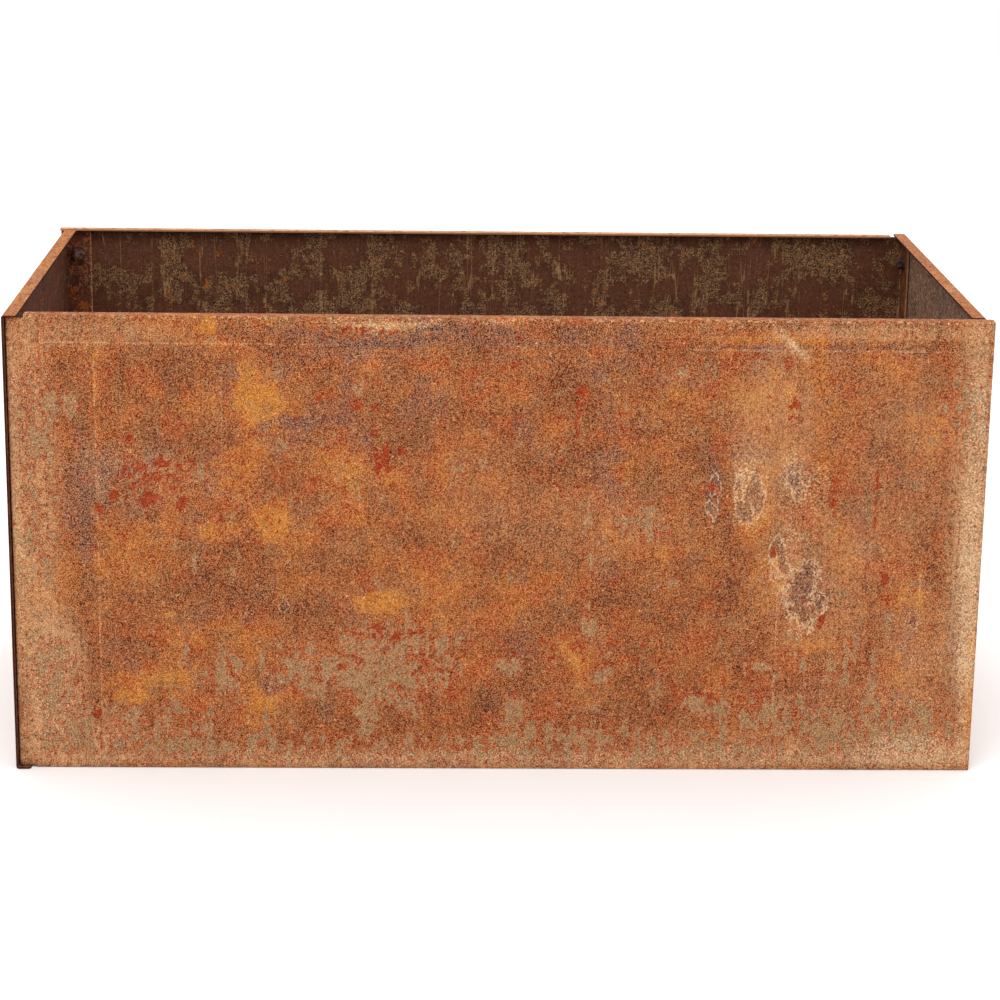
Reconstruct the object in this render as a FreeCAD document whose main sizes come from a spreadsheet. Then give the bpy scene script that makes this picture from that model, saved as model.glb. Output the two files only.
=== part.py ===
import FreeCAD, Part
import os
import Sketcher

# Planter box of four folded weathering-steel panels, bolted together at the corners, with a loose floor.
# Millimetres, +Z up, X along the long sides, -Y the front; the origin is under the middle of the box.
# The panels run round the box like a pinwheel: each has a flange folded inwards at one end, and a
# plain end that runs past the corner and covers the next panel's fold.

driving_sizes = {
    "boxLength": 1000,
    "boxDepth": 520,
    "boxHeight": 480,
    "sheetThickness": 2,
    "foldRadius": 3,
    "lipWidth": 15,
    "lipCornerRadius": 3,
    "lipSetback": 18,           # from a panel's flanged end to where its lips start
    "plainOverhang": 5,         # how far a plain end stands past the panel that it covers
    "jointGap": 1,              # between a flange and the panel that it is bolted to
    "lipClearance": 1,          # between a lip and the sheet that passes under or over it
    "longPanelFlange": 45,
    "sidePanelFlange": 30,
    "longPanelBoltLine": 22,    # from the flanged end's outer face to the bolts' centre line
    "sidePanelBoltLine": 15,
    "boltEndDistance": 30,      # from the rim and from the ground to the nearest bolt
    "boltsPerCorner": 3,
    "boltHole": 9,
    "studDiameter": 8,
    "studLength": 13,
    "studTipChamfer": 0.8,
    "washerOutside": 16,
    "washerHole": 8.4,
    "washerThickness": 1.6,
    "nutAcrossFlats": 13,
    "nutThickness": 6.5,
    "nutBore": 8.1,
    "nutFaceDiameter": 12.2,    # the flat that the corner chamfer leaves on a nut's open face
    "floorGap": 1,
    "drainHole": 16,
    "drainColumns": 5,
    "drainEndDistance": 110,
    "drainRowSpacing": 260,
}

doc = FreeCAD.newDocument("planter_box")
sheet = doc.addObject("Spreadsheet::Sheet", "sizes")
for row, (alias, value) in enumerate(driving_sizes.items(), start=1):
    sheet.set(f"A{row}", alias)
    sheet.set(f"B{row}", str(value))
    sheet.setAlias(f"B{row}", alias)
doc.recompute()

# How far a flanged end sits inside the end of the box, seen along the panel.
end_allowance = "(sizes.plainOverhang + sizes.sheetThickness + sizes.jointGap)"
bolt_span = "sizes.boxHeight - 2 * sizes.boltEndDistance"


def vector(x, y, z=0.0):
    return FreeCAD.Vector(x, y, z)


def size(alias):
    return float(sheet.get(alias))


def new_body(name):
    body = doc.addObject("PartDesign::Body", name)
    body.Label = name
    body.AllowCompound = True
    return body


def place(body, x, y, quarter_turns=0):
    body.Placement = FreeCAD.Placement(vector(0, 0), FreeCAD.Rotation(vector(0, 0, 1), 90 * quarter_turns))
    body.setExpression("Placement.Base.x", x)
    body.setExpression("Placement.Base.y", y)


def new_sketch(body, name, plane_role, offset="0"):
    """A sketch on one of the body's own origin planes, raised along its normal."""
    plane = next(item for item in body.Origin.OriginFeatures if item.Role == plane_role)
    sketch = body.newObject("Sketcher::SketchObject", name)
    sketch.AttachmentSupport = [(plane, "")]
    sketch.MapMode = "FlatFace"
    sketch.setExpression("AttachmentOffset.Base.z", offset)
    return sketch


def constrain(sketch, expression, kind, *references):
    """Add a dimension to the sketch and bind it to the sheet."""
    index = sketch.addConstraint(Sketcher.Constraint(kind, *references, 1.0))
    sketch.setExpression(f"Constraints[{index}]", expression)


def add_outline(sketch, points):
    """A closed outline of level and upright sides."""
    count = len(points)
    for number, start in enumerate(points):
        end = points[(number + 1) % count]
        sketch.addGeometry(Part.LineSegment(start, end))
        direction = "Horizontal" if start.y == end.y else "Vertical"
        sketch.addConstraint(Sketcher.Constraint(direction, number))
    for number in range(count):
        sketch.addConstraint(Sketcher.Constraint("Coincident", number, 2, (number + 1) % count, 1))


def add_circle(sketch, across, up, diameter):
    """A circle with its centre and diameter bound to the sheet; across and up are expressions."""
    circle = sketch.addGeometry(Part.Circle(vector(1, 1), vector(0, 0, 1), 1))
    constrain(sketch, across, "DistanceX", -1, 1, circle, 3)
    constrain(sketch, up, "DistanceY", -1, 1, circle, 3)
    constrain(sketch, diameter, "Diameter", circle)


def pad(body, sketch, name, length):
    feature = body.newObject("PartDesign::Pad", name)
    feature.Profile = sketch
    feature.setExpression("Length", length)
    body.Tip = feature
    doc.recompute()
    return feature


def cut_through(body, sketch, name, reverse):
    """A pocket through the sheet metal; it must take some material away."""
    before = body.Shape.Volume
    feature = body.newObject("PartDesign::Pocket", name)
    feature.Profile = sketch
    feature.Reversed = reverse
    feature.setExpression("Length", "2 * sizes.sheetThickness")
    body.Tip = feature
    doc.recompute()
    if body.Shape.Volume >= before:
        raise RuntimeError(f"{name} cuts nothing from {body.Label}")
    return feature


def repeat_up_corner(body, sketch, name, feature=None):
    """The feature, or with none the whole body so far, repeated at every bolt of a corner."""
    pattern = body.newObject("PartDesign::LinearPattern", name)
    if feature:
        pattern.Originals = [feature]
    else:
        pattern.TransformMode = "Whole shape"
    pattern.Direction = (sketch, ["V_Axis"])
    pattern.setExpression("Length", bolt_span)
    pattern.setExpression("Occurrences", "sizes.boltsPerCorner")
    body.Tip = pattern
    doc.recompute()


def edges_along(shape, direction, **coordinates):
    """Names of the straight edges along a direction whose middle has the given coordinates."""
    names = []
    for number, edge in enumerate(shape.Edges, start=1):
        if not isinstance(edge.Curve, Part.Line):
            continue
        if abs(abs(edge.Curve.Direction.dot(direction)) - 1) > 1e-6:
            continue
        middle = edge.CenterOfMass
        if all(abs(getattr(middle, axis) - value) < 0.01 for axis, value in coordinates.items()):
            names.append(f"Edge{number}")
    return names


def round_edges(body, name, radius, edge_names):
    base = body.Tip
    feature = body.newObject("PartDesign::Fillet", name)
    feature.Base = (base, edge_names)
    feature.setExpression("Radius", radius)
    body.Tip = feature
    doc.recompute()


def folded_panel(name, length, flange, bolt_line):
    """One panel: its web along X with the outer face at Y 0, its flange at X 0, its lips folded to +Y."""
    body = new_body(name)
    thick, lip, tall = size("sheetThickness"), size("lipWidth"), size("boxHeight")
    web_end, flange_end = size("boxLength") / 2, size("sidePanelFlange")

    plan = new_sketch(body, "web_and_flange", "XY_Plane", "sizes.sheetThickness + sizes.lipClearance")
    add_outline(plan, [vector(0, 0), vector(web_end, 0), vector(web_end, thick),
                       vector(thick, thick), vector(thick, flange_end), vector(0, flange_end)])
    plan.addConstraint(Sketcher.Constraint("Coincident", 0, 1, -1, 1))
    constrain(plan, length, "DistanceX", 0, 1, 0, 2)
    constrain(plan, flange, "DistanceY", 5, 2, 5, 1)
    constrain(plan, "sizes.sheetThickness", "DistanceY", 1, 1, 1, 2)
    constrain(plan, "sizes.sheetThickness", "DistanceX", 4, 2, 4, 1)
    pad(body, plan, "web_and_flange_pad", "sizes.boxHeight - 2 * (sizes.sheetThickness + sizes.lipClearance)")

    section = new_sketch(body, "web_and_lips", "YZ_Plane", "sizes.lipSetback")
    add_outline(section, [vector(0, 0), vector(lip, 0), vector(lip, thick), vector(thick, thick),
                          vector(thick, tall - thick), vector(lip, tall - thick), vector(lip, tall),
                          vector(0, tall)])
    section.addConstraint(Sketcher.Constraint("Coincident", 0, 1, -1, 1))
    constrain(section, "sizes.boxHeight", "DistanceY", 7, 2, 7, 1)
    constrain(section, "sizes.lipWidth", "DistanceX", 0, 1, 0, 2)
    constrain(section, "sizes.lipWidth", "DistanceX", 6, 2, 6, 1)
    constrain(section, "sizes.sheetThickness", "DistanceY", 1, 1, 1, 2)
    constrain(section, "sizes.sheetThickness", "DistanceY", 5, 1, 5, 2)
    constrain(section, "sizes.sheetThickness", "DistanceX", 7, 2, 2, 2)
    pad(body, section, "web_and_lips_pad", f"{length} - sizes.lipSetback")

    along, up = vector(1, 0), vector(0, 0, 1)
    folds = edges_along(body.Shape, up, x=0, y=0)
    folds += edges_along(body.Shape, along, y=0, z=0) + edges_along(body.Shape, along, y=0, z=tall)
    round_edges(body, "outer_folds", "sizes.foldRadius", folds)
    folds = edges_along(body.Shape, up, x=thick, y=thick)
    folds += edges_along(body.Shape, along, y=thick, z=thick)
    folds += edges_along(body.Shape, along, y=thick, z=tall - thick)
    round_edges(body, "inner_folds", "sizes.foldRadius - sizes.sheetThickness", folds)
    corners = edges_along(body.Shape, up, y=lip, z=thick / 2)
    corners += edges_along(body.Shape, up, y=lip, z=tall - thick / 2)
    round_edges(body, "lip_corners", "sizes.lipCornerRadius", corners)

    hole_circle = new_sketch(body, "bolt_hole_circle", "YZ_Plane")
    add_circle(hole_circle, bolt_line, "sizes.boltEndDistance", "sizes.boltHole")
    hole = cut_through(body, hole_circle, "bolt_hole", reverse=True)
    repeat_up_corner(body, hole_circle, "bolt_holes", hole)
    return body


def corner_studs(name, bolt_line):
    """Studs welded to the inner face of a plain end, standing through the flange beside it."""
    body = new_body(name)
    section = new_sketch(body, "stud_circle", "YZ_Plane", "-sizes.jointGap")
    add_circle(section, bolt_line, "sizes.boltEndDistance", "sizes.studDiameter")
    shank = pad(body, section, "stud_shank", "sizes.studLength")
    tip = [f"Edge{number}" for number, edge in enumerate(body.Shape.Edges, start=1)
           if isinstance(edge.Curve, Part.Circle) and edge.CenterOfMass.x > 0]
    chamfer = body.newObject("PartDesign::Chamfer", "stud_tip")
    chamfer.Base = (shank, tip)
    chamfer.setExpression("Size", "sizes.studTipChamfer")
    body.Tip = chamfer
    doc.recompute()
    repeat_up_corner(body, section, "corner_row")
    return body


def corner_washers(name, bolt_line):
    body = new_body(name)
    section = new_sketch(body, "washer_circles", "YZ_Plane", "sizes.sheetThickness")
    add_circle(section, bolt_line, "sizes.boltEndDistance", "sizes.washerOutside")
    add_circle(section, bolt_line, "sizes.boltEndDistance", "sizes.washerHole")
    pad(body, section, "washer", "sizes.washerThickness")
    repeat_up_corner(body, section, "corner_row")
    return body


def hexagon_nut(name, bolt_line, number):
    """One nut on its washer: a hexagon turned down to a round face on its open side, and bored."""
    hexagon = doc.addObject("Part::Prism", f"{name}_hexagon")
    hexagon.Polygon = 6
    hexagon.setExpression("Circumradius", "sizes.nutAcrossFlats / sqrt(3)")
    turned = doc.addObject("Part::Cone", f"{name}_turned")
    turned.setExpression("Radius1", "sizes.nutFaceDiameter / 2 + sizes.nutThickness * sqrt(3)")
    turned.setExpression("Radius2", "sizes.nutFaceDiameter / 2")
    bore = doc.addObject("Part::Cylinder", f"{name}_bore")
    bore.setExpression("Radius", "sizes.nutBore / 2")
    blank = doc.addObject("Part::Common", f"{name}_blank")
    blank.Base, blank.Tool = hexagon, turned
    nut = doc.addObject("Part::Cut", name)
    nut.Base, nut.Tool = blank, bore
    for piece in (hexagon, turned, bore):
        piece.Placement.Rotation = FreeCAD.Rotation(vector(0, 1), 90)
        piece.setExpression("Height", "sizes.nutThickness")
        piece.setExpression("Placement.Base.x", "sizes.sheetThickness + sizes.washerThickness")
        piece.setExpression("Placement.Base.y", bolt_line)
        piece.setExpression("Placement.Base.z",
                            f"sizes.boltEndDistance + {number} * ({bolt_span}) / (sizes.boltsPerCorner - 1)")
    return nut


def corner_nuts(name, bolt_line):
    group = doc.addObject("Part::Compound", name)
    group.Label = name
    group.Links = [hexagon_nut(f"{name}_{number + 1}", bolt_line, number)
                   for number in range(driving_sizes["boltsPerCorner"])]
    doc.recompute()
    return group


def floor_panel(name):
    """Loose floor sheet on the four bottom lips, clear of the flanges, with two rows of drain holes."""
    body = new_body(name)
    half_length, half_depth = size("boxLength") / 2, size("boxDepth") / 2
    outline = new_sketch(body, "floor_outline", "XY_Plane", "sizes.sheetThickness")
    add_outline(outline, [vector(-half_length, -half_depth), vector(half_length, -half_depth),
                          vector(half_length, half_depth), vector(-half_length, half_depth)])
    inset = f"({end_allowance} + sizes.sheetThickness + sizes.floorGap)"
    constrain(outline, f"sizes.boxLength - 2 * {inset}", "DistanceX", 0, 1, 0, 2)
    constrain(outline, f"sizes.boxDepth - 2 * {inset}", "DistanceY", 1, 1, 1, 2)
    outline.addConstraint(Sketcher.Constraint("Symmetric", 0, 1, 1, 2, -1, 1))
    pad(body, outline, "floor_sheet", "sizes.sheetThickness")

    circle = new_sketch(body, "drain_circle", "XY_Plane", "sizes.sheetThickness")
    add_circle(circle, "sizes.drainEndDistance - sizes.boxLength / 2", "-sizes.drainRowSpacing / 2",
               "sizes.drainHole")
    hole = cut_through(body, circle, "drain_hole", reverse=True)
    grid = body.newObject("PartDesign::LinearPattern", "drain_holes")
    grid.Originals = [hole]
    grid.Direction, grid.Direction2 = (circle, ["H_Axis"]), (circle, ["V_Axis"])
    grid.setExpression("Length", "sizes.boxLength - 2 * sizes.drainEndDistance")
    grid.setExpression("Occurrences", "sizes.drainColumns")
    grid.setExpression("Length2", "sizes.drainRowSpacing")
    grid.Occurrences2 = 2
    body.Tip = grid
    doc.recompute()
    return body


# Each flanged end's place: the panel, the corner that its flange bolts up, and the quarter turns it has made.
end_x = f"sizes.boxLength / 2 - {end_allowance}"
end_y = f"sizes.boxDepth / 2 - {end_allowance}"
face_x = "sizes.boxLength / 2 - sizes.plainOverhang"
face_y = "sizes.boxDepth / 2 - sizes.plainOverhang"
long_panel = (f"sizes.boxLength - {end_allowance}", "sizes.longPanelFlange", "sizes.longPanelBoltLine")
side_panel = (f"sizes.boxDepth - {end_allowance}", "sizes.sidePanelFlange", "sizes.sidePanelBoltLine")
corners = (
    ("front_panel", "front_left", long_panel, f"-({end_x})", f"-({face_y})", 0),
    ("right_panel", "front_right", side_panel, face_x, f"-({end_y})", 1),
    ("back_panel", "back_right", long_panel, end_x, face_y, 2),
    ("left_panel", "back_left", side_panel, f"-({face_x})", end_y, 3),
)

nodes = [floor_panel("floor_panel")]
for panel_name, corner, (length, flange, bolt_line), x, y, quarter_turns in corners:
    pieces = [folded_panel(panel_name, length, flange, bolt_line),
              corner_studs(f"{corner}_studs", bolt_line),
              corner_washers(f"{corner}_washers", bolt_line),
              corner_nuts(f"{corner}_nuts", bolt_line)]
    for piece in pieces:
        place(piece, x, y, quarter_turns)
    nodes += pieces
doc.recompute()

for item in doc.Objects:
    if "Invalid" in item.State or "Error" in item.State:
        raise RuntimeError(f"{item.Label} did not compute: {item.State}")
for node in nodes:
    if node.Shape.isNull() or not node.Shape.isValid():
        raise RuntimeError(f"{node.Label} has no valid shape")

os.makedirs("parts", exist_ok=True)
for node in nodes:
    node.Shape.exportStep(f"parts/{node.Label}.step")
    print(node.Label, len(node.Shape.Solids), "solids", round(node.Shape.Volume), "mm3")
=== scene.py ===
import math
import random

import bpy
import numpy as np
from mathutils import Matrix, Vector, noise


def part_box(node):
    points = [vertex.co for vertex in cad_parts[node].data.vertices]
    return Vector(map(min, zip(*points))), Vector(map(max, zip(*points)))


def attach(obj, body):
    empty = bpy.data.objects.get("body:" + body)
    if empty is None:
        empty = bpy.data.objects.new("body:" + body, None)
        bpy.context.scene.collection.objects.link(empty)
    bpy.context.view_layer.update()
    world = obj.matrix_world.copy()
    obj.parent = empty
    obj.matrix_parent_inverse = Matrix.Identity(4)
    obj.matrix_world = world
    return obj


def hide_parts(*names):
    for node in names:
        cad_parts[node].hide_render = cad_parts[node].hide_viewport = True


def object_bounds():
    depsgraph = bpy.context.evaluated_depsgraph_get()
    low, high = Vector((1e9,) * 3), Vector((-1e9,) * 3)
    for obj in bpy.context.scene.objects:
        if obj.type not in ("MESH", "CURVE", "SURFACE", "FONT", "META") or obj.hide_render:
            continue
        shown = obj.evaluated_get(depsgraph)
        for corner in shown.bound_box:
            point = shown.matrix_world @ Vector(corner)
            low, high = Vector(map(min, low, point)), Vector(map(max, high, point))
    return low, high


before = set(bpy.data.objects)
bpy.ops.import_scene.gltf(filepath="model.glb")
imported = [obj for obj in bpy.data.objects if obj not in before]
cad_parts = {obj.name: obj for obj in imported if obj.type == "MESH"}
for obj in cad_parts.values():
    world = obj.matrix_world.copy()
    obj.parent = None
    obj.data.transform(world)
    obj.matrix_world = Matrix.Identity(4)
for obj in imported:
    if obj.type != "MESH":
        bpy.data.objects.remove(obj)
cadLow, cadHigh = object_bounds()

mm = 0.001
scene = bpy.context.scene
print("frame loaded:", len(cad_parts), "nodes")


# ---- camera, floor and light

viewSetup = {
    "place": (-0.0759, -2.9744, 1.0400),
    "lens": 99.8,            # mm, on a 36 mm sensor
    "sensor": 36.0,
    "down": 15.379,          # degrees below level
    "yaw": 1.679,            # degrees to the right of straight on
    "roll": 0.808,
}

lightSetup = {
    "world": 1.0,
    "lamps": [               # name, place, size, power, aimed at
        ("keyLamp", (-0.9, -2.5, 3.6), 2.6, 62.0, (0.0, -0.3, 0.2)),
        ("fillLamp", (2.6, -2.6, 1.9), 2.6, 10.0, (0.1, 0.0, 0.25)),
        ("backLamp", (0.6, 2.6, 3.6), 3.0, 52.0, (0.0, 0.3, 0.2)),
    ],
}

studioFloor = {
    "size": 14.0,
    "tone": 0.975,
    "rough": 0.9,
    "drop": 0.0002,          # below the ground, clear of the panels' undersides
}


def addToScene(name, data):
    thing = bpy.data.objects.new(name, data)
    scene.collection.objects.link(thing)
    return thing


def addCamera(setup):
    data = bpy.data.cameras.new("studioCamera")
    data.lens = setup["lens"]
    data.sensor_width = setup["sensor"]
    data.clip_end = 100
    camera = addToScene("studioCamera", data)
    turn = Matrix.Rotation(-math.radians(setup["yaw"]), 4, "Z")
    tilt = Matrix.Rotation(math.radians(90 - setup["down"]), 4, "X")
    roll = Matrix.Rotation(math.radians(setup["roll"]), 4, "Z")
    camera.matrix_world = Matrix.Translation(setup["place"]) @ turn @ tilt @ roll
    scene.camera = camera


def addLamps(setup):
    world = bpy.data.worlds.new("paleStudio")
    scene.world = world
    world.use_nodes = True
    background = world.node_tree.nodes["Background"]
    background.inputs["Color"].default_value = (1.0, 1.0, 1.0, 1.0)
    background.inputs["Strength"].default_value = setup["world"]
    for name, place, size, power, target in setup["lamps"]:
        data = bpy.data.lights.new(name, "AREA")
        data.shape = "DISK"
        data.size = size
        data.energy = power
        lamp = addToScene(name, data)
        lamp.location = place
        aim = Vector(target) - Vector(place)
        lamp.rotation_euler = aim.to_track_quat("-Z", "Y").to_euler()


def addFloor(spec):
    half = spec["size"] / 2
    rim = [(-half, -half, 0), (half, -half, 0), (half, half, 0), (-half, half, 0)]
    mesh = bpy.data.meshes.new("studioFloor")
    mesh.from_pydata(rim, [], [(0, 1, 2, 3)])
    floor = addToScene("studioFloor", mesh)
    floor.location.z = -spec["drop"]
    paint = bpy.data.materials.new("floorPaint")
    paint.use_nodes = True
    shader = paint.node_tree.nodes["Principled BSDF"]
    shader.inputs["Base Color"].default_value = (spec["tone"], spec["tone"], spec["tone"], 1.0)
    shader.inputs["Roughness"].default_value = spec["rough"]
    mesh.materials.append(paint)


addCamera(viewSetup)
addLamps(lightSetup)
addFloor(studioFloor)
scene.view_settings.view_transform = "Standard"
print("camera, lamps and floor are up")


# ---- node helpers for the finishes

def tone(red, green, blue):
    # a screen colour, 0 to 255, as the linear colour that a shader takes
    parts = [c / 255 for c in (red, green, blue)]
    linear = [c / 12.92 if c <= 0.04045 else ((c + 0.055) / 1.055) ** 2.4 for c in parts]
    return (*linear, 1.0)


def newFinish(name):
    finish = bpy.data.materials.new(name)
    finish.use_nodes = True
    tree = finish.node_tree
    shader = tree.nodes["Principled BSDF"]
    place = tree.nodes.new("ShaderNodeTexCoord").outputs["Object"]
    return finish, tree, shader, place


def put(tree, socket, value):
    if isinstance(value, bpy.types.NodeSocket):
        tree.links.new(value, socket)
    else:
        socket.default_value = value


def placed(tree, place, size, stretch, shift):
    # turned well off the axes, so that a flat sheet doesn't show the pattern's own grid
    mapping = tree.nodes.new("ShaderNodeMapping")
    mapping.inputs["Location"].default_value = (shift, 1.7 * shift, -0.6 * shift)
    mapping.inputs["Scale"].default_value = [1 / (size * mm * s) for s in stretch]
    tree.links.new(place, mapping.inputs["Vector"])
    turned = tree.nodes.new("ShaderNodeMapping")
    turned.inputs["Rotation"].default_value = (0.62, 0.48, 0.91)
    tree.links.new(mapping.outputs["Vector"], turned.inputs["Vector"])
    return turned.outputs["Vector"]


def grain(tree, place, size, detail=2.0, rough=0.55, stretch=(1, 1, 1), shift=0.0, twist=0.0):
    # noise whose grains are about size mm, pulled out by stretch along each axis
    field = tree.nodes.new("ShaderNodeTexNoise")
    field.inputs["Scale"].default_value = 1.0
    field.inputs["Detail"].default_value = detail
    field.inputs["Roughness"].default_value = rough
    field.inputs["Distortion"].default_value = twist
    tree.links.new(placed(tree, place, size, stretch, shift), field.inputs["Vector"])
    return field.outputs["Fac"]


def cells(tree, place, size, stretch, shift):
    # distance to the middle of the nearest cell, and three random numbers for that cell
    field = tree.nodes.new("ShaderNodeTexVoronoi")
    field.inputs["Scale"].default_value = 1.0
    tree.links.new(placed(tree, place, size, stretch, shift), field.inputs["Vector"])
    split = tree.nodes.new("ShaderNodeSeparateColor")
    tree.links.new(field.outputs["Color"], split.inputs["Color"])
    return field.outputs["Distance"], split.outputs


def crystals(tree, place, size, shift=0.0):
    # two random numbers for each crystal of about size mm
    _, numbers = cells(tree, place, size, (1, 1, 1), shift)
    return numbers[0], numbers[1]


def blisters(tree, place, size, share, shift):
    # round spots up to size mm apart, kept in only a share of the places that could have one
    distance, numbers = cells(tree, place, size, (1, 1, 0.8), shift)
    chosen = rise(tree, numbers[2], 1.0 - share, 1.0 - 0.8 * share)
    return times(tree, rise(tree, distance, 0.40, 0.22), chosen)


def ramp(tree, value, stops):
    node = tree.nodes.new("ShaderNodeValToRGB")
    marks = node.color_ramp.elements
    while len(marks) < len(stops):
        marks.new(1.0)
    for mark, (where, colour) in zip(marks, stops):
        mark.position = where
        mark.color = colour
    put(tree, node.inputs["Fac"], value)
    return node.outputs["Color"]


def maths(tree, operation, *values):
    node = tree.nodes.new("ShaderNodeMath")
    node.operation = operation
    for socket, value in zip(node.inputs, values):
        put(tree, socket, value)
    return node.outputs[0]


def times(tree, first, second):
    return maths(tree, "MULTIPLY", first, second)


def sloped(tree, value, slope, start):
    return maths(tree, "MULTIPLY_ADD", value, slope, start)


def awayFrom(tree, value, middle):
    return maths(tree, "ABSOLUTE", maths(tree, "SUBTRACT", value, middle))


def plus(tree, value, *parts):
    # adds (field - middle) * amount for each part, whose middle is 0.5 if it gives none
    for field, amount, *middle in parts:
        centre = middle[0] if middle else 0.5
        value = maths(tree, "ADD", value, sloped(tree, field, amount, -centre * amount))
    return value


def rise(tree, value, low, high, top=1.0):
    # 0 below low, top above high, with a soft step between
    node = tree.nodes.new("ShaderNodeMapRange")
    node.interpolation_type = "SMOOTHSTEP"
    put(tree, node.inputs["Value"], value)
    node.inputs["From Min"].default_value = low
    node.inputs["From Max"].default_value = high
    node.inputs["To Min"].default_value = 0.0
    node.inputs["To Max"].default_value = top
    return node.outputs["Result"]


def lay(tree, under, over, mask, way="MIX"):
    node = tree.nodes.new("ShaderNodeMix")
    node.data_type = "RGBA"
    node.blend_type = way
    node.clamp_factor = True
    node.clamp_result = True
    put(tree, node.inputs[0], mask)
    put(tree, node.inputs[6], under)
    put(tree, node.inputs[7], over)
    return node.outputs[2]


def painted(tree, name):
    node = tree.nodes.new("ShaderNodeAttribute")
    node.attribute_name = name
    return node.outputs["Fac"]


def shade(tree, colour, field, low, high):
    # darkens and lightens a colour by a field that runs from about 0.3 to 0.7
    node = tree.nodes.new("ShaderNodeMapRange")
    put(tree, node.inputs["Value"], field)
    node.inputs["From Min"].default_value = 0.3
    node.inputs["From Max"].default_value = 0.7
    node.inputs["To Min"].default_value = low
    node.inputs["To Max"].default_value = high
    scale = tree.nodes.new("ShaderNodeVectorMath")
    scale.operation = "SCALE"
    put(tree, scale.inputs[0], colour)
    tree.links.new(node.outputs["Result"], scale.inputs["Scale"])
    return scale.outputs["Vector"]


def finishOff(tree, shader, colour, rough, heights, distance, gloss=0.5):
    put(tree, shader.inputs["Base Color"], colour)
    put(tree, shader.inputs["Roughness"], rough)
    shader.inputs["Specular IOR Level"].default_value = gloss
    bump = tree.nodes.new("ShaderNodeBump")
    bump.inputs["Distance"].default_value = distance
    bump.inputs["Strength"].default_value = 1.0
    put(tree, bump.inputs["Height"], heights)
    tree.links.new(bump.outputs["Normal"], shader.inputs["Normal"])


# ---- finishes

rustTones = {
    "umber": tone(98, 48, 26),
    "brown": tone(120, 63, 32),
    "base": tone(140, 78, 37),
    "orange": tone(160, 92, 38),
    "yellow": tone(176, 110, 40),
    "rusty": tone(152, 70, 26),
    "dull": tone(132, 87, 54),
    "mauve": tone(124, 80, 64),
    "plum": tone(102, 66, 56),
    "red": tone(138, 42, 6),
    "redRim": tone(150, 58, 20),
    "steel": tone(145, 110, 76),
    "ash": tone(142, 102, 70),
    "haze": tone(176, 132, 94),
    "cream": tone(212, 182, 144),
    "blush": tone(196, 148, 108),
    "glint": (0.28, 0.142, 0.062, 1.0),  # what the lightest crystal adds
    "soot": (0.22, 0.10, 0.040, 1.0),    # what the darkest one takes away
}


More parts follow.
